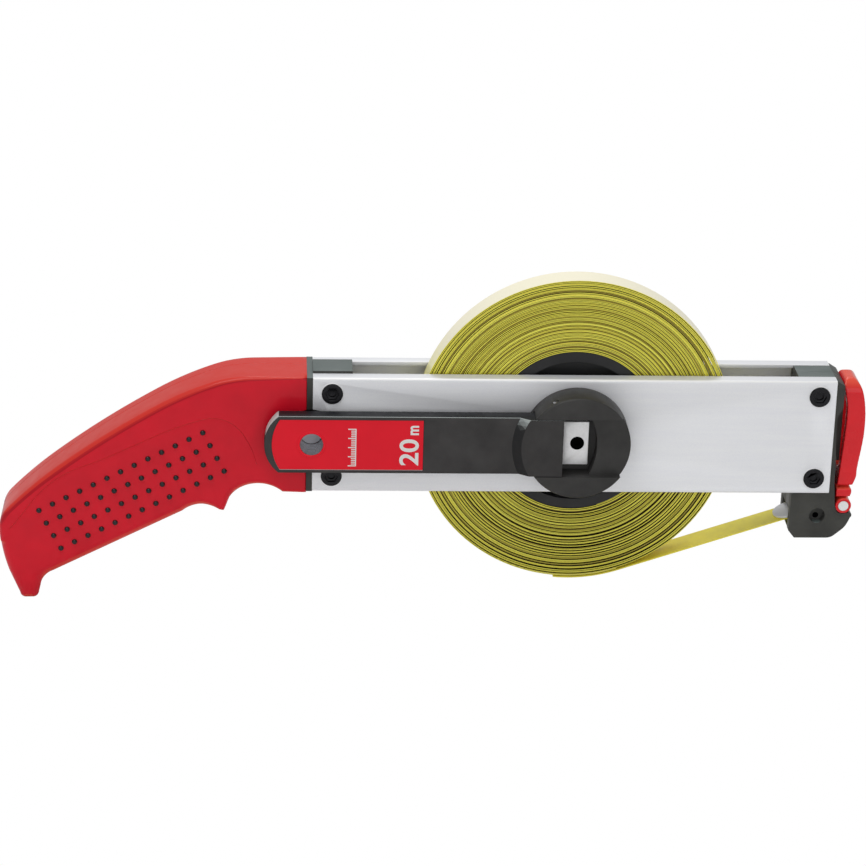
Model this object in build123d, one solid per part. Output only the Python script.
from build123d import *
import os
from math import atan2, cos, degrees, hypot, radians, sin, sqrt

# Surveyor's open-frame tape reel: two channel rails hold a bare steel tape coil,
# a red grip is at the left end, a folding crank drives the hub, and a nose block
# at the right end guides the tape and parks its end ring.
# Millimetres. The model is drawn about the reel axle: X runs towards the nose,
# Y runs from the crank side to the back, Z is up. Every piece is moved at the end
# so that the frame's origin is the bottom centre of the whole object.

# Side rails: two channels, webs outside, flanges turned in
RAIL_LEFT = -109.5
RAIL_RIGHT = 108.5
RAIL_HALF_HEIGHT = 25.2
FRAME_HALF_DEPTH = 13.0
RAIL_WALL = 1.6
FLANGE_EDGE = FRAME_HALF_DEPTH - 5.8
RAIL_CORNER = 1.0

# Fits shared by the pieces
MOVING_GAP = 0.4
RUNNING_GAP = 0.05
SEAT_GAP = 0.1

# Tape and coil
TAPE_WIDTH = 13.0
TAPE_THICKNESS = 0.5
COIL_RADIUS = 66.4
HUB_RADIUS = 35.0
HUB_RIM = 4.2
HUB_WEB = 4.0
HUB_BOSS_RADIUS = 9.0
ANCHOR_RADIUS = 1.2
WRAP_ANGLE = 24.0

# Axle and bearings
AXLE_RADIUS = 4.0
BUSH_WALL = 2.4
BUSH_FLANGE = 1.0
WASHER_THICKNESS = 0.8
SPIGOT_WALL = 2.6
AXLE_HEAD_RADIUS = 7.0
AXLE_HEAD_HEIGHT = 2.0

# Frame screws
SCREW_INSET_X = 8.0
SCREW_HEIGHT = 18.3
SCREW_RADIUS = 2.5
SCREW_HEAD_RADIUS = 4.4
SCREW_SEAT_GAP = 0.2
SCREW_HEAD_PROUD = 0.7
SCREW_HEAD_SINK = 0.8
SCREW_LENGTH = 9.0
SOCKET_RADIUS = 2.8
SOCKET_DEPTH = 1.2
INSERT_RADIUS = 3.4

# Crank
DISC_RADIUS = 22.0
DISC_BACK = -FRAME_HALF_DEPTH - 0.5
DISC_FRONT = DISC_BACK - 13.5
ARM_HALF_HEIGHT = 12.45
ARM_FRONT = DISC_BACK - 10.5
ARM_BACK = DISC_BACK - 4.0
ARM_HUB_FRONT = DISC_FRONT + 0.1
ARM_HUB_EDGE = -6.4
ARM_RAMP_OUTER = 27.3
ARM_RAMP_INNER = 23.7
FOLD_X = -9.8
FOLD_PIN_RADIUS = 1.25
PLATE_RIGHT = 4.6
PLATE_HALF_HEIGHT = 9.4
PLATE_FRONT = DISC_BACK - 7.0
POCKET_FLOOR = DISC_BACK - 3.5
SLOT_FLOOR = DISC_BACK - 2.7
CRANK_SCREW_RADIUS = 1.7
CRANK_SCREW_HEAD = 2.9
LABEL_DEPTH = 0.5
LABEL_RIGHT = -64.0
LABEL_MARGIN = 1.5

# Crank knob and the pocket it parks in
KNOB_X = RAIL_LEFT - 0.5
KNOB_RADIUS = 9.8
KNOB_END = 7.6
ARM_END = KNOB_X - 19.5
ARM_END_CORNER = KNOB_X - 13.6
LABEL_END = KNOB_X - 16.4
LABEL_END_CORNER = KNOB_X - 13.1
SPINDLE_RADIUS = 6.0
SPINDLE_BORE = 4.8
KNOB_WASHER_RADIUS = 8.2
KNOB_WASHER_THICKNESS = 1.0
POCKET_RADIUS = 11.3
POCKET_END = 8.8

# Rear block
BLOCK_STRIP = 2.5
BLOCK_TONGUE_END = RAIL_LEFT + 16.5
BLOCK_RIB_PROUD = 1.0

# Handle
HANDLE_FRONT_SHARE = 2 / 3
HANDLE_WALL = 3.0
GRIP_LOW = RAIL_HALF_HEIGHT + 0.8
NECK_HALF_DEPTH = 4.0
NECK_LOW = 15.4
NECK_HIGH = 21.2
NECK_LENGTH = 9.0
GRIP_SCREW_RADIUS = 1.4
GRIP_SCREW_HEAD = 2.2
GRIP_SCREW_HEAD_HEIGHT = 1.8
GRIP_BOSS = 3.6

# Rubber nubs
NUB_COLUMNS = 13
NUB_ROWS = 4
NUB_PITCH = 6.4
NUB_TILT = 27.3
NUB_START = (RAIL_LEFT - 113.6, -34.5)
NUB_RADIUS = 1.15
NUB_DEPTH = 1.2

# Nose block, end ring and tape end
NOSE_LEFT = RAIL_RIGHT - 15.3
NOSE_BOTTOM = -RAIL_HALF_HEIGHT - 21.0
MOUTH_FLOOR = NOSE_BOTTOM + 2.6
RING_X = RAIL_RIGHT + 7.0
RING_Z = NOSE_BOTTOM + 14.6
MOUTH_TOP = RING_Z - 3.0
RING_PIN_RADIUS = 2.15
RING_LUG_RADIUS = 3.4
RING_SEAT_GAP = 0.3
RING_TOP = 24.2
RING_CORNER = 6.5
CLIP_HALF_WIDTH = 3.6
CLIP_THICKNESS = 1.7
CLIP_START = 5.0
CLIP_LENGTH = 5.2
SPINE_REACH = 13.4
ROD_X = RAIL_RIGHT - 4.0
ROD_Z = RING_Z - 5.6
ROD_RADIUS = 1.25
ROD_SINK = 3.6
ROD_HOLE = 3.35
ROD_HOLE_Z = RING_Z - 4.4
WIPER_HALF_WIDTH = 7.0
WIPER_THICKNESS = 0.9
WIPER_TIP = RAIL_RIGHT - 20.5
WIPER_LEG_X = RAIL_RIGHT - 13.5

NOSE_HALF_WIDTH = FRAME_HALF_DEPTH - RAIL_WALL - SEAT_GAP
CHEEK_INNER = NOSE_HALF_WIDTH - 4.0
RING_NECK_HALF = CHEEK_INNER - 0.4
RING_HALF_WIDTH = NOSE_HALF_WIDTH - 1.8
RING_WINDOW_HALF = RING_HALF_WIDTH - 4.1
FLANGE_INSIDE = RAIL_HALF_HEIGHT - RAIL_WALL
BLOCK_LEFT = RAIL_LEFT - BLOCK_STRIP
SCREW_XS = (RAIL_LEFT + SCREW_INSET_X, RAIL_RIGHT - SCREW_INSET_X + 1.0)
PARTING = -FRAME_HALF_DEPTH + 2 * FRAME_HALF_DEPTH * HANDLE_FRONT_SHARE
FOLD_Y = ARM_FRONT
SLOT_HALF_HEIGHT = ARM_HALF_HEIGHT + 0.3
BUSH_RADIUS = AXLE_RADIUS + SPIGOT_WALL + BUSH_WALL


def slab(face, low, high):
    """A sketch drawn in X and Z, as a solid from Y low to Y high."""
    return Pos(0, high, 0) * extrude(Plane.XZ * face, amount=high - low)


def rod(radius, x, z, low, high):
    """A round bar along Y."""
    return slab(Pos(x, z) * Circle(radius), low, high)


def block(x_low, x_high, y_low, y_high, z_low, z_high):
    """A rectangular block between two corners."""
    middle = Pos((x_low + x_high) / 2, (y_low + y_high) / 2, (z_low + z_high) / 2)
    return middle * Box(x_high - x_low, y_high - y_low, z_high - z_low)


def mirrored(piece):
    """The piece on the other side of the frame's middle plane."""
    return mirror(piece, about=Plane.XZ)


def screw_places():
    """Centres of the four frame screws of one side."""
    return [(x, z) for x in SCREW_XS for z in (-SCREW_HEIGHT, SCREW_HEIGHT)]


def side_rail(bush_radius):
    """Front channel: a web with a flange at its top and bottom, and its holes."""
    high = RAIL_HALF_HEIGHT
    outer = block(RAIL_LEFT, RAIL_RIGHT, -FRAME_HALF_DEPTH, -FLANGE_EDGE, -high, high)
    long_edges = outer.edges().filter_by(Axis.X).group_by(Axis.Y)[0]
    outer = fillet(long_edges, RAIL_CORNER)
    channel = outer - block(
        RAIL_LEFT - 1, RAIL_RIGHT + 1, -FRAME_HALF_DEPTH + RAIL_WALL, 0, -FLANGE_INSIDE, FLANGE_INSIDE
    )
    holes = [rod(SCREW_RADIUS, x, z, -FRAME_HALF_DEPTH - 1, 0) for x, z in screw_places()]
    channel -= holes
    seat = SCREW_HEAD_RADIUS + SCREW_SEAT_GAP
    floor = -FRAME_HALF_DEPTH + SCREW_HEAD_SINK
    channel -= [rod(seat, x, z, -FRAME_HALF_DEPTH - 1, floor) for x, z in screw_places()]
    return channel - rod(bush_radius, 0, 0, -FRAME_HALF_DEPTH - 1, 0)


def front_side_rail():
    pocket = rod(POCKET_RADIUS, KNOB_X, 0, -FRAME_HALF_DEPTH - 1, 0)
    return side_rail(BUSH_RADIUS) - pocket


def rear_side_rail():
    return mirrored(side_rail(AXLE_RADIUS + BUSH_WALL))


def inserts_at(x):
    """The two threaded inserts that cross the frame at one end."""
    bars = []
    for z in (-SCREW_HEIGHT, SCREW_HEIGHT):
        tube = rod(INSERT_RADIUS, x, z, -NOSE_HALF_WIDTH, NOSE_HALF_WIDTH)
        bars.append(tube - rod(SCREW_RADIUS, x, z, -NOSE_HALF_WIDTH, NOSE_HALF_WIDTH))
    return bars


def frame_inserts():
    return Compound(inserts_at(SCREW_XS[0]) + inserts_at(SCREW_XS[1]))


def frame_screw(x, z):
    """A low-head socket screw on the crank side, its head sunk in the rail's web."""
    top = -FRAME_HALF_DEPTH - SCREW_HEAD_PROUD
    seat = -FRAME_HALF_DEPTH + SCREW_HEAD_SINK
    head = rod(SCREW_HEAD_RADIUS, x, z, top, seat)
    rim = head.edges().filter_by(GeomType.CIRCLE).group_by(Axis.Y)[0]
    head = fillet(rim, SCREW_HEAD_PROUD * 0.7)
    shank = rod(SCREW_RADIUS, x, z, seat, seat + SCREW_LENGTH)
    socket = slab(Pos(x, z) * RegularPolygon(SOCKET_RADIUS, 6), top - 1, top + SOCKET_DEPTH)
    drilled = rod(SOCKET_RADIUS * 0.6, x, z, top, top + 2 * SOCKET_DEPTH)
    return head + shank - socket - drilled


def frame_screws_front():
    return Compound([frame_screw(x, z) for x, z in screw_places()])


def frame_screws_rear():
    return Compound([mirrored(frame_screw(x, z)) for x, z in screw_places()])


def insert_holes(x):
    deep = FRAME_HALF_DEPTH
    return [rod(INSERT_RADIUS, x, z, -deep, deep) for z in (-SCREW_HEIGHT, SCREW_HEIGHT)]


def knob_pocket():
    return rod(POCKET_RADIUS, KNOB_X, 0, -FRAME_HALF_DEPTH - 1, POCKET_END)


def grip_necks(gap):
    """The two tongues of the rear block that the grip shells close on."""
    left = BLOCK_LEFT - NECK_LENGTH - gap
    deep = NECK_HALF_DEPTH + gap
    upper = block(left, BLOCK_LEFT + 1, -deep, deep, NECK_LOW - gap, NECK_HIGH + gap)
    lower = block(left, BLOCK_LEFT + 1, -deep, deep, -NECK_HIGH - gap, -NECK_LOW + gap)
    return [upper, lower]


def rear_block():
    """Black block that closes the rails' left end and carries the grip."""
    high = RAIL_HALF_HEIGHT
    body = block(BLOCK_LEFT, RAIL_LEFT, -FRAME_HALF_DEPTH, FRAME_HALF_DEPTH, -high, high)
    inside = FLANGE_INSIDE - SEAT_GAP
    body += block(RAIL_LEFT, BLOCK_TONGUE_END, -NOSE_HALF_WIDTH, NOSE_HALF_WIDTH, -inside, inside)
    rib = FLANGE_EDGE - SEAT_GAP
    top = high + BLOCK_RIB_PROUD
    body += block(RAIL_LEFT, BLOCK_TONGUE_END, -rib, rib, -high, top)
    body += grip_necks(0)
    body -= insert_holes(SCREW_XS[0])
    for x, z in grip_screw_places()[:2]:
        body -= rod(GRIP_SCREW_RADIUS, x, z, -NECK_HALF_DEPTH, NECK_HALF_DEPTH)
    return body - knob_pocket()


def handle_outline():
    """Side view of the grip, drawn about the rear block's left face."""
    high = RAIL_HALF_HEIGHT
    low = -GRIP_LOW
    neck = Line((0, high), (-22.0, high))
    brow = TangentArc([neck @ 1, (-38.0, 22.6)], tangent=neck % 1)
    crown = TangentArc([brow @ 1, (-61.3, 12.2)], tangent=brow % 1)
    back = TangentArc([crown @ 1, (-103.6, -15.7)], tangent=crown % 1)
    shoulder = TangentArc([back @ 1, (-124.2, -34.0)], tangent=back % 1)
    corner = TangentArc([shoulder @ 1, (-128.0, -44.0)], tangent=shoulder % 1)
    heel = TangentArc([corner @ 1, (-124.4, -63.2)], tangent=corner % 1)
    hook_back = Line(heel @ 1, (-120.2, -73.4))
    hook_left = ThreePointArc((-120.2, -73.4), (-119.4, -75.0), (-117.8, -75.6))
    hook_foot = Line((-117.8, -75.6), (-114.6, -75.6))
    hook_right = ThreePointArc((-114.6, -75.6), (-113.0, -75.0), (-112.3, -73.4))
    hook_face = Line((-112.3, -73.4), (-111.6, -70.6))
    hook_inside = ThreePointArc((-111.6, -70.6), (-109.6, -66.0), (-105.7, -63.4))
    belly = Line((-105.7, -63.4), (-51.5, -35.8))
    hollow = ThreePointArc((-51.5, -35.8), (-43.2, -32.5), (-36.2, -34.2))
    spur = Line((-36.2, -34.2), (-34.2, -34.5))
    spur_face = Line((-34.2, -34.5), (-31.9, -29.0))
    notch = ThreePointArc((-31.9, -29.0), (-21.0, -22.7), (-9.8, low))
    foot = Line((-9.8, low), (0, low))
    closing = Line((0, low), (0, high))
    upper = [neck, brow, crown, back, shoulder, corner, heel]
    hook = [hook_back, hook_left, hook_foot, hook_right, hook_face, hook_inside]
    lower = [belly, hollow, spur, spur_face, notch, foot, closing]
    return Pos(BLOCK_LEFT, 0) * make_face(upper + hook + lower)


def nub_place(column, row):
    """Centre of one nub, or between nubs where column and row are not whole."""
    along = radians(NUB_TILT)
    x = NUB_START[0] + NUB_PITCH * (column * cos(along) + row * sin(along))
    z = NUB_START[1] + NUB_PITCH * (column * sin(along) - row * cos(along))
    return x, z


def nub_places():
    return [nub_place(column, row) for row in range(NUB_ROWS) for column in range(NUB_COLUMNS)]


def grip_screw_places():
    """Two screws go through the necks, one sits between nubs, one near the heel."""
    neck_x = BLOCK_LEFT - NECK_LENGTH / 2 - 1.5
    neck_z = (NECK_LOW + NECK_HIGH) / 2
    between_nubs = nub_place(NUB_COLUMNS // 2 + 0.5, 1.5)
    return [(neck_x, neck_z), (neck_x, -neck_z), between_nubs, (BLOCK_LEFT - 117.0, -56.0)]


def handle_cavity(low, high):
    """Hollow of the grip between its walls, its bosses and the knob pocket's wall."""
    inner = offset(handle_outline(), amount=-HANDLE_WALL)
    hollow = slab(inner, low, high)
    hollow -= rod(POCKET_RADIUS + HANDLE_WALL, KNOB_X, 0, low - 1, high + 1)
    for x, z in grip_screw_places()[2:]:
        hollow -= rod(GRIP_BOSS, x, z, low - 1, high + 1)
    return hollow


def nub_stems():
    return [rod(NUB_RADIUS, x, z, -FRAME_HALF_DEPTH, NUB_DEPTH - FRAME_HALF_DEPTH) for x, z in nub_places()]


def handle_shell(parting, pocket):
    """One shell of the grip on the crank side, open at its parting face."""
    shell = slab(handle_outline(), -FRAME_HALF_DEPTH, parting)
    shell -= handle_cavity(-FRAME_HALF_DEPTH + HANDLE_WALL, parting + 1)
    shell -= grip_necks(0)
    shell -= pocket
    return shell - nub_stems()


def handle_front_shell():
    shell = handle_shell(PARTING, knob_pocket())
    for x, z in grip_screw_places():
        shell -= rod(GRIP_SCREW_RADIUS, x, z, -FRAME_HALF_DEPTH + HANDLE_WALL, PARTING + 1)
    return shell


def handle_rear_shell():
    shell = mirrored(handle_shell(-PARTING, mirrored(knob_pocket())))
    for x, z in grip_screw_places():
        shell -= rod(GRIP_SCREW_RADIUS, x, z, PARTING - 1, FRAME_HALF_DEPTH + 1)
        shell -= rod(GRIP_SCREW_HEAD, x, z, FRAME_HALF_DEPTH - GRIP_SCREW_HEAD_HEIGHT, FRAME_HALF_DEPTH + 1)
    return shell


def handle_screws():
    """Four socket screws that pull the grip shells together from the back."""
    screws = []
    seat = FRAME_HALF_DEPTH - GRIP_SCREW_HEAD_HEIGHT
    for x, z in grip_screw_places():
        head = rod(GRIP_SCREW_HEAD, x, z, seat, FRAME_HALF_DEPTH - 0.3)
        shank = rod(GRIP_SCREW_RADIUS, x, z, -FRAME_HALF_DEPTH + HANDLE_WALL + 1, seat)
        socket = slab(Pos(x, z) * RegularPolygon(1.2, 6), seat + 0.4, FRAME_HALF_DEPTH)
        screws.append(head + shank - socket)
    return Compound(screws)


def grip_nubs(side):
    """Domed rubber nubs with short stems in the shell."""
    nubs = []
    face = side * FRAME_HALF_DEPTH
    inner = side * (FRAME_HALF_DEPTH - NUB_DEPTH)
    for x, z in nub_places():
        stem = rod(NUB_RADIUS, x, z, min(face, inner), max(face, inner))
        ball = Pos(x, face, z) * Sphere(NUB_RADIUS)
        half = block(x - 2, x + 2, min(face, face + side * 2), max(face, face + side * 2), z - 2, z + 2)
        nubs.append(stem + (ball & half))
    return Compound(nubs)


def hub():
    """Spool that the tape is wound on: rim, web and boss."""
    half = TAPE_WIDTH / 2
    rim = rod(HUB_RADIUS, 0, 0, -half, half) - rod(HUB_RADIUS - HUB_RIM, 0, 0, -half, half)
    web = rod(HUB_RADIUS - HUB_RIM, 0, 0, -HUB_WEB / 2, HUB_WEB / 2)
    boss_half = FRAME_HALF_DEPTH - RAIL_WALL - BUSH_FLANGE - WASHER_THICKNESS - SEAT_GAP
    boss = rod(HUB_BOSS_RADIUS, 0, 0, -boss_half, boss_half)
    x, z = anchor_place()
    body = rim + web + boss - rod(AXLE_RADIUS, 0, 0, -boss_half - 1, boss_half + 1)
    return body - rod(ANCHOR_RADIUS, x, z, -half - 1, half + 1)


def anchor_place():
    """The anchor pin sits in the middle of the hub rim."""
    middle = HUB_RADIUS - HUB_RIM / 2
    return middle * cos(radians(215)), middle * sin(radians(215))


def tape_anchor():
    x, z = anchor_place()
    return rod(ANCHOR_RADIUS, x, z, -TAPE_WIDTH / 2, TAPE_WIDTH / 2)


def tape_pack():
    half = TAPE_WIDTH / 2
    return rod(COIL_RADIUS, 0, 0, -half, half) - rod(HUB_RADIUS, 0, 0, -half, half)


def axle():
    return rod(AXLE_RADIUS, 0, 0, DISC_BACK - 1.5, FRAME_HALF_DEPTH + 0.3) - rod(
        SCREW_RADIUS, 0, 0, FRAME_HALF_DEPTH + 0.3 - SCREW_LENGTH, FRAME_HALF_DEPTH + 1
    )


def rear_axle_screw():
    """Low screw in the axle's back end, which turns with it."""
    seat = FRAME_HALF_DEPTH + 0.3
    head = rod(AXLE_HEAD_RADIUS, 0, 0, seat, seat + AXLE_HEAD_HEIGHT)
    head = fillet(head.edges().filter_by(GeomType.CIRCLE).group_by(Axis.Y)[-1], AXLE_HEAD_HEIGHT * 0.5)
    shank = rod(SCREW_RADIUS, 0, 0, seat - SCREW_LENGTH, seat)
    socket = slab(RegularPolygon(SOCKET_RADIUS, 6), seat, seat + AXLE_HEAD_HEIGHT + 1)
    return head + shank - socket


def bush(outer_radius, bore):
    """Flanged plain bearing of the crank side, seated in the rail's web."""
    face = -FRAME_HALF_DEPTH
    inside = face + RAIL_WALL
    sleeve = rod(outer_radius, 0, 0, face, inside)
    flange = rod(outer_radius + 1.5, 0, 0, inside, inside + BUSH_FLANGE)
    return sleeve + flange - rod(bore, 0, 0, face - 1, inside + BUSH_FLANGE + 1)


def front_bearing_bush():
    return bush(BUSH_RADIUS, AXLE_RADIUS + SPIGOT_WALL + RUNNING_GAP)


def rear_bearing_bush():
    return mirrored(bush(AXLE_RADIUS + BUSH_WALL, AXLE_RADIUS + RUNNING_GAP))


def thrust_washer():
    """Washer between the hub's boss and the bearing, on the crank side."""
    low = -FRAME_HALF_DEPTH + RAIL_WALL + BUSH_FLANGE + SEAT_GAP
    high = low + WASHER_THICKNESS
    return rod(HUB_BOSS_RADIUS, 0, 0, low, high) - rod(AXLE_RADIUS, 0, 0, low, high)


def crank_disc():
    """Round crank head: a deep slot for the folded arm and a shallow one opposite."""
    disc = rod(DISC_RADIUS, 0, 0, DISC_FRONT, DISC_BACK)
    rims = disc.edges().filter_by(GeomType.CIRCLE).group_by(Axis.Y)[0]
    disc = chamfer(rims, 0.5)
    spigot_end = -FRAME_HALF_DEPTH + RAIL_WALL + BUSH_FLANGE - 0.2
    disc += rod(AXLE_RADIUS + SPIGOT_WALL, 0, 0, DISC_BACK, spigot_end)
    far = DISC_RADIUS + 1
    top = SLOT_HALF_HEIGHT
    plate_left = ARM_HUB_EDGE + 0.3
    disc -= block(-far, plate_left, DISC_FRONT - 1, SLOT_FLOOR, -top, top)
    disc -= block(plate_left, far, DISC_FRONT - 1, ARM_FRONT + MOVING_GAP, -top, top)
    sweep = Pos(2 * FOLD_X, 0) * Circle(ARM_RAMP_OUTER + MOVING_GAP)
    window = sweep & (Pos(plate_left + far / 2, 0) * Rectangle(far, 2 * top))
    disc -= slab(window, DISC_FRONT - 1, POCKET_FLOOR)
    disc -= Pos(FOLD_X, FOLD_Y, 0) * Cylinder(FOLD_PIN_RADIUS, 3 * DISC_RADIUS)
    disc -= rod(AXLE_RADIUS + RUNNING_GAP, 0, 0, DISC_BACK - 1.7, 0)
    return disc - rod(CRANK_SCREW_RADIUS, 0, 0, DISC_FRONT, 0)


def crank_plate():
    """Bright plate in the disc's window, under the folded-out arm."""
    left = ARM_HUB_EDGE + 0.4
    plate = block(left, PLATE_RIGHT, PLATE_FRONT, POCKET_FLOOR, -PLATE_HALF_HEIGHT, PLATE_HALF_HEIGHT)
    plate -= rod(CRANK_SCREW_HEAD, 0, 0, PLATE_FRONT - 1, PLATE_FRONT + 2)
    return plate - rod(CRANK_SCREW_RADIUS, 0, 0, PLATE_FRONT - 1, 0)


def crank_screw():
    head = rod(CRANK_SCREW_HEAD, 0, 0, PLATE_FRONT + 0.2, PLATE_FRONT + 2)
    shank = rod(CRANK_SCREW_RADIUS, 0, 0, PLATE_FRONT + 2, DISC_BACK - 2)
    socket = slab(RegularPolygon(1.3, 6), PLATE_FRONT - 1, PLATE_FRONT + 1.5)
    return head + shank - socket


def crank_hinge_pin():
    reach = sqrt(DISC_RADIUS**2 - FOLD_X**2) - 0.4
    return Pos(FOLD_X, FOLD_Y, 0) * Cylinder(FOLD_PIN_RADIUS, 2 * reach)


def curved_bar(end_x, corner, right, high):
    """A bar's face with straight sides, a square right end and a curved left end."""
    end = ThreePointArc((corner, high), (end_x, 0), (corner, -high))
    low_side = Line((corner, -high), (right, -high))
    edge = Line((right, -high), (right, high))
    high_side = Line((right, high), (corner, high))
    return make_face([end, low_side, edge, high_side])


def crank_arm():
    outline = curved_bar(ARM_END, ARM_END_CORNER, ARM_HUB_EDGE, ARM_HALF_HEIGHT)
    arm = slab(outline, ARM_FRONT, ARM_BACK)
    depth = ARM_FRONT - ARM_HUB_FRONT
    cone = Cone(ARM_RAMP_OUTER, ARM_RAMP_INNER, depth)
    cone = Pos(0, ARM_FRONT - depth / 2, 0) * Rot(90, 0, 0) * cone
    high = ARM_HALF_HEIGHT
    raised = cone & block(-ARM_RAMP_OUTER - 1, ARM_HUB_EDGE, ARM_HUB_FRONT, ARM_FRONT, -high, high)
    arm += raised
    arm -= slab(label_outline(0), ARM_FRONT - 1, ARM_FRONT + LABEL_DEPTH)
    arm -= Pos(FOLD_X, FOLD_Y, 0) * Cylinder(FOLD_PIN_RADIUS + RUNNING_GAP, 4 * high)
    return arm - rod(SPINDLE_RADIUS, KNOB_X, 0, ARM_FRONT - 1, ARM_BACK + 1)


def label_outline(margin):
    """The label's face, smaller all round by the margin."""
    high = ARM_HALF_HEIGHT - LABEL_MARGIN - margin
    return curved_bar(LABEL_END + margin, LABEL_END_CORNER + margin, LABEL_RIGHT - margin, high)


def crank_label():
    """Red inlay that lies flush in the arm, with a hole over the hollow spindle."""
    inlay = slab(label_outline(0.05), ARM_FRONT, ARM_FRONT + LABEL_DEPTH)
    inlay -= rod(SPINDLE_BORE, KNOB_X, 0, ARM_FRONT - 1, ARM_FRONT + 2)
    front_circles = inlay.edges().filter_by(GeomType.CIRCLE).group_by(Axis.Y)[0]
    mouth = front_circles.sort_by(SortBy.RADIUS)[0]
    return chamfer(mouth, LABEL_DEPTH * 0.8)


def knob_spindle():
    """Hollow spindle pressed in the arm, with its end under the label."""
    low = ARM_FRONT + LABEL_DEPTH
    spindle = rod(SPINDLE_RADIUS, KNOB_X, 0, low, KNOB_END - 0.6)
    return spindle - rod(SPINDLE_BORE, KNOB_X, 0, low - 1, KNOB_END)


def crank_knob():
    """Turning grip round the spindle, with two shallow grooves."""
    low = ARM_BACK + MOVING_GAP
    knob = rod(KNOB_RADIUS, KNOB_X, 0, low, KNOB_END)
    rims = knob.edges().filter_by(GeomType.CIRCLE)
    knob = fillet(rims, 1.5)
    seat = KNOB_END - 0.6 - KNOB_WASHER_THICKNESS - MOVING_GAP
    knob -= rod(SPINDLE_RADIUS + RUNNING_GAP, KNOB_X, 0, low - 1, KNOB_END + 1)
    return knob - rod(KNOB_WASHER_RADIUS + MOVING_GAP, KNOB_X, 0, seat, KNOB_END + 1)


def knob_washer():
    """Spring washer pressed on the spindle's end, which keeps the knob on."""
    high = KNOB_END - 0.6
    low = high - KNOB_WASHER_THICKNESS
    return rod(KNOB_WASHER_RADIUS, KNOB_X, 0, low, high) - rod(SPINDLE_RADIUS, KNOB_X, 0, low, high)


def tape_heading():
    """Angle of the straight tape run, from its tangent point to the ring pin."""
    distance = hypot(RING_X, RING_Z)
    radius = COIL_RADIUS + MOVING_GAP + TAPE_THICKNESS / 2
    return degrees(atan2(RING_Z, RING_X)) + degrees(atan2(radius, sqrt(distance**2 - radius**2)))


def along_tape(piece):
    """Places a piece drawn about the ring pin with the tape's run along X."""
    return Pos(RING_X, 0, RING_Z) * Rot(0, -tape_heading(), 0) * piece


def tape_run():
    radius = COIL_RADIUS + MOVING_GAP + TAPE_THICKNESS / 2
    return sqrt(RING_X**2 + RING_Z**2 - radius**2)


def tape_wrap():
    """The last part of the outer turn, where the tape starts to leave the coil."""
    inner = COIL_RADIUS + MOVING_GAP
    leave = radians(tape_heading() - 90)
    start = leave - radians(WRAP_ANGLE)
    far = 2 * inner
    last = (far * cos(leave), far * sin(leave))
    first = (far * cos(start), far * sin(start))
    wedge = Polyline((0, 0), last, first, close=True)
    ring = Circle(inner + TAPE_THICKNESS) - Circle(inner)
    return slab(ring & make_face(wedge), -TAPE_WIDTH / 2, TAPE_WIDTH / 2)


def tape_lead():
    """Tape from the outer turn, straight through the mouth and into its end clip."""
    half = TAPE_WIDTH / 2
    strip = block(-tape_run(), -CLIP_START - 0.8, -half, half, -TAPE_THICKNESS / 2, TAPE_THICKNESS / 2)
    return along_tape(strip) + tape_wrap()


def tape_end_clip():
    """Folded steel clip: it grips the tape and turns an eye round the ring pin."""
    half = TAPE_WIDTH / 2
    thick = CLIP_THICKNESS / 2
    left = -CLIP_START - CLIP_LENGTH
    clip = block(left, -CLIP_START, -half, half, -thick, thick)
    clip -= block(left, -CLIP_START - 0.8, -half, half, -TAPE_THICKNESS / 2, TAPE_THICKNESS / 2)
    clip += block(-CLIP_START - 0.5, 0, -CLIP_HALF_WIDTH, CLIP_HALF_WIDTH, -thick, thick)
    clip += rod(RING_PIN_RADIUS + 1.1, 0, 0, -CLIP_HALF_WIDTH, CLIP_HALF_WIDTH)
    clip -= rod(RING_PIN_RADIUS, 0, 0, -CLIP_HALF_WIDTH, CLIP_HALF_WIDTH)
    return along_tape(clip)


def nose_outline():
    """Side view of the nose block with the ring's seat and the scoop behind the ring."""
    seat = RING_LUG_RADIUS + RING_SEAT_GAP
    right = RING_X - seat
    hook = radians(-50)
    bed = (RING_X + seat * cos(hook), RING_Z + seat * sin(hook))
    tip = (RING_X + 3.4, RING_Z - 3.2)
    top = FLANGE_INSIDE - SEAT_GAP
    end = RAIL_RIGHT
    shoulder = Polyline(
        (NOSE_LEFT - 0.4, NOSE_BOTTOM + 3.2),
        (NOSE_LEFT, top),
        (end, top),
        (end, RAIL_HALF_HEIGHT - 0.3),
        (end + 3.7, RAIL_HALF_HEIGHT - 2.6),
        (end + 3.7, 19.1),
        (end + 3.6, 12.6),
        (end + 1.5, 8.8),
        (end + 1.4, 3.0),
        (end + 1.7, -4.0),
        (end + 2.2, -10.0),
        (end + 2.4, -21.4),
        (right, RING_Z),
    )
    notch = ThreePointArc((right, RING_Z), (RING_X - seat * 0.5, RING_Z - seat * sqrt(3) / 2), bed)
    lip = Line(bed, tip)
    chin_top = (RING_X + 3.2, RING_Z - 5.2)
    nib = ThreePointArc(tip, (RING_X + 3.75, RING_Z - 4.0), chin_top)
    chin_points = [chin_top, (RING_X + 0.6, RING_Z - 10.1), (RING_X - 2.1, NOSE_BOTTOM + 2.1)]
    chin_points += [(end + 0.2, NOSE_BOTTOM)]
    chin = Spline(chin_points, tangents=[(-0.35, -1), (-1, 0)])
    floor = Line((end + 0.2, NOSE_BOTTOM), (NOSE_LEFT + 2.2, NOSE_BOTTOM))
    corner = Line((NOSE_LEFT + 2.2, NOSE_BOTTOM), (NOSE_LEFT - 0.4, NOSE_BOTTOM + 3.2))
    return make_face([shoulder, notch, lip, nib, chin, floor, corner])


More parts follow.
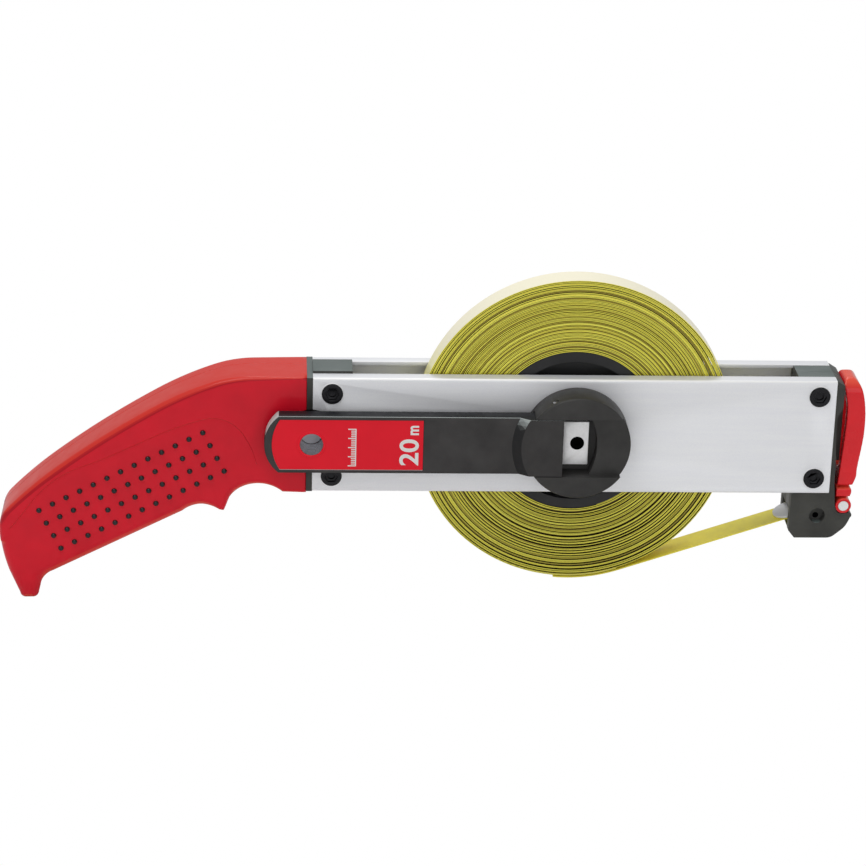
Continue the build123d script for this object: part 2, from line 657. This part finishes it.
def mouth_outline():
    """Passage between the cheeks for the tape, its clip and the ring's neck."""
    far = RING_X + 12
    return make_face(
        Polyline(
            (NOSE_LEFT - 1, MOUTH_FLOOR),
            (RING_X - 8, MOUTH_FLOOR),
            (RING_X - 2, NOSE_BOTTOM - 3),
            (far, NOSE_BOTTOM - 3),
            (far, RING_Z + 5),
            (RING_X - 4.4, RING_Z + 5),
            (RING_X - 5.0, RING_Z + 1.5),
            (NOSE_LEFT - 1, MOUTH_TOP),
            close=True,
        )
    )


def nose_half_front():
    """Crank-side half of the nose block, split on the middle plane."""
    half = slab(nose_outline(), -NOSE_HALF_WIDTH, 0)
    spine = RING_WINDOW_HALF - 1.0
    half += block(RAIL_RIGHT - 1, RING_X - 2.0, -spine, 0, -SPINE_REACH, SPINE_REACH)
    rib = FLANGE_EDGE - SEAT_GAP
    half += block(NOSE_LEFT, RAIL_RIGHT, -rib, 0, FLANGE_INSIDE - 1, RAIL_HALF_HEIGHT - 0.3)
    groove_top = -FLANGE_INSIDE + SEAT_GAP
    groove_low = -RAIL_HALF_HEIGHT - SEAT_GAP
    half -= block(NOSE_LEFT - 1, RAIL_RIGHT, -FRAME_HALF_DEPTH, -rib, groove_low, groove_top)
    half -= slab(mouth_outline(), -CHEEK_INNER, 1)
    half -= insert_holes(SCREW_XS[1])
    half -= rod(ROD_HOLE, ROD_X, ROD_HOLE_Z, -NOSE_HALF_WIDTH - 1, -NOSE_HALF_WIDTH + ROD_SINK)
    half -= rod(ROD_RADIUS, ROD_X, ROD_Z, -NOSE_HALF_WIDTH, 0)
    return half - wiper_leg()


def nose_half_rear():
    return mirrored(nose_half_front())


def guide_rod():
    reach = NOSE_HALF_WIDTH - ROD_SINK
    return rod(ROD_RADIUS, ROD_X, ROD_Z, -reach, reach)


def tape_height(x):
    """Height of the tape's middle at a place along the straight run."""
    return RING_Z + (x - RING_X) * sin(radians(tape_heading())) / cos(radians(tape_heading()))


def wiper_leg():
    low = tape_height(WIPER_LEG_X) + 0.6
    half = WIPER_HALF_WIDTH
    return block(WIPER_LEG_X, WIPER_LEG_X + WIPER_THICKNESS, -half, half, low, MOUTH_TOP + 3)


def tape_wiper():
    """Tongue that lies on the tape at the mouth, hung on a leg in the nose block."""
    slope = cos(radians(tape_heading()))
    reach = (RING_X - WIPER_TIP) / slope
    root = (RING_X - WIPER_LEG_X - WIPER_THICKNESS) / slope
    low = TAPE_THICKNESS / 2 + 0.12
    face = Pos(-reach + WIPER_HALF_WIDTH, 0) * Circle(WIPER_HALF_WIDTH)
    length = reach - root - WIPER_HALF_WIDTH
    face += Pos(-root - length / 2, 0) * Rectangle(length, 2 * WIPER_HALF_WIDTH)
    tongue = along_tape(Pos(0, 0, low) * extrude(face, amount=WIPER_THICKNESS))
    return tongue + wiper_leg()


def ring_pin():
    reach = NOSE_HALF_WIDTH - 0.1
    return rod(RING_PIN_RADIUS, RING_X, RING_Z, -reach, reach)


def ring_profile():
    """Side view of the end ring: a bar that bows out and turns over the nose."""
    low = ring_low()
    foot_left = (RING_X - 3.0, low)
    foot_right = (RING_X + 3.5, low)
    inner_points = [foot_left, (RING_X - 1.9, -8.0), (RING_X - 1.2, 4.0), (RING_X - 1.4, 14.0)]
    inner = Spline(inner_points, tangents=[(0.08, 1), (-0.12, 1)])
    under = Line((RING_X - 1.4, 14.0), (RING_X - 2.7, 19.8))
    lip = ThreePointArc((RING_X - 2.7, 19.8), (RING_X - 2.9, 22.4), (RING_X - 1.6, RING_TOP))
    crown = Line((RING_X - 1.6, RING_TOP), (RING_X + 1.2, RING_TOP))
    outer_points = [(RING_X + 1.2, RING_TOP), (RING_X + 5.4, 17.4), (RING_X + 6.7, 8.0)]
    outer_points += [(RING_X + 6.2, -5.0), (RING_X + 4.9, -17.0), foot_right]
    outer = Spline(outer_points, tangents=[(1, -0.5), (-0.4, -1)])
    foot = Line(foot_right, foot_left)
    return make_face([inner, under, lip, crown, outer, foot])


def ring_low():
    """Height where the ring's loop starts over its neck."""
    return RING_Z + 8.8


def end_ring():
    """Pull ring on the tape's end, with a round lug seated in the nose's cheeks."""
    low = ring_low()
    loop = slab(ring_profile(), -RING_HALF_WIDTH, RING_HALF_WIDTH)
    height = RING_TOP - low + 0.2
    front = Plane.YZ * Pos(0, low + height / 2) * RectangleRounded(2 * RING_HALF_WIDTH, height, RING_CORNER)
    front += Plane.YZ * Pos(0, low + RING_CORNER / 2) * Rectangle(2 * RING_HALF_WIDTH, RING_CORNER)
    loop &= Pos(RING_X - 20, 0, 0) * extrude(front, amount=40)
    window_low = low + 6.0
    window_high = RING_TOP - 6.0
    window = Plane.YZ * Pos(0, (window_low + window_high) / 2) * RectangleRounded(
        2 * RING_WINDOW_HALF, window_high - window_low, RING_WINDOW_HALF - 1
    )
    loop -= Pos(RING_X - 20, 0, 0) * extrude(window, amount=40)
    collar_low = RING_Z + RING_LUG_RADIUS + 0.7
    full = NOSE_HALF_WIDTH - 0.4
    collar = block(RING_X - 3.4, RING_X + 2.7, -full, full, collar_low, low - 1.0)
    bead = block(RING_X - 3.0, RING_X + 3.1, -full, full, collar_low + 1.2, low - 1.4)
    neck = block(RING_X - 2.8, RING_X + 2.5, -RING_NECK_HALF, RING_NECK_HALF, RING_Z, low + 2)
    lug = rod(RING_LUG_RADIUS, RING_X, RING_Z, -NOSE_HALF_WIDTH, NOSE_HALF_WIDTH)
    ring = loop + collar + bead + neck + lug
    ring -= rod(RING_PIN_RADIUS + RUNNING_GAP, RING_X, RING_Z, -NOSE_HALF_WIDTH - 1, NOSE_HALF_WIDTH + 1)
    reach = RING_LUG_RADIUS + 0.5
    eye_half = CLIP_HALF_WIDTH + MOVING_GAP
    return ring - block(RING_X - reach, RING_X + reach, -eye_half, eye_half, RING_Z - reach, RING_Z + reach)


PIECES = {
    "front_side_rail": front_side_rail(),
    "rear_side_rail": rear_side_rail(),
    "rear_block": rear_block(),
    "nose_half_front": nose_half_front(),
    "nose_half_rear": nose_half_rear(),
    "handle_front_shell": handle_front_shell(),
    "handle_rear_shell": handle_rear_shell(),
    "grip_nubs_front": grip_nubs(-1),
    "grip_nubs_rear": grip_nubs(1),
    "handle_screws": handle_screws(),
    "frame_screws_front": frame_screws_front(),
    "frame_screws_rear": frame_screws_rear(),
    "frame_inserts": frame_inserts(),
    "front_bearing_bush": front_bearing_bush(),
    "rear_bearing_bush": rear_bearing_bush(),
    "guide_rod": guide_rod(),
    "tape_wiper": tape_wiper(),
    "tape_lead": tape_lead(),
    "tape_end_clip": tape_end_clip(),
    "ring_pin": ring_pin(),
    "end_ring": end_ring(),
    "axle": axle(),
    "rear_axle_screw": rear_axle_screw(),
    "front_thrust_washer": thrust_washer(),
    "rear_thrust_washer": mirrored(thrust_washer()),
    "hub": hub(),
    "tape_anchor": tape_anchor(),
    "tape_pack": tape_pack(),
    "crank_disc": crank_disc(),
    "crank_plate": crank_plate(),
    "crank_screw": crank_screw(),
    "crank_hinge_pin": crank_hinge_pin(),
    "crank_arm": crank_arm(),
    "crank_label": crank_label(),
    "knob_spindle": knob_spindle(),
    "knob_washer": knob_washer(),
    "crank_knob": crank_knob(),
}

bounds = Compound(list(PIECES.values())).bounding_box()
to_frame = Pos(-(bounds.min.X + bounds.max.X) / 2, -(bounds.min.Y + bounds.max.Y) / 2, -bounds.min.Z)
os.makedirs("parts", exist_ok=True)
for name, piece in PIECES.items():
    export_step(to_frame * piece, f"parts/{name}.step")
print("axle in the frame", to_frame.position)
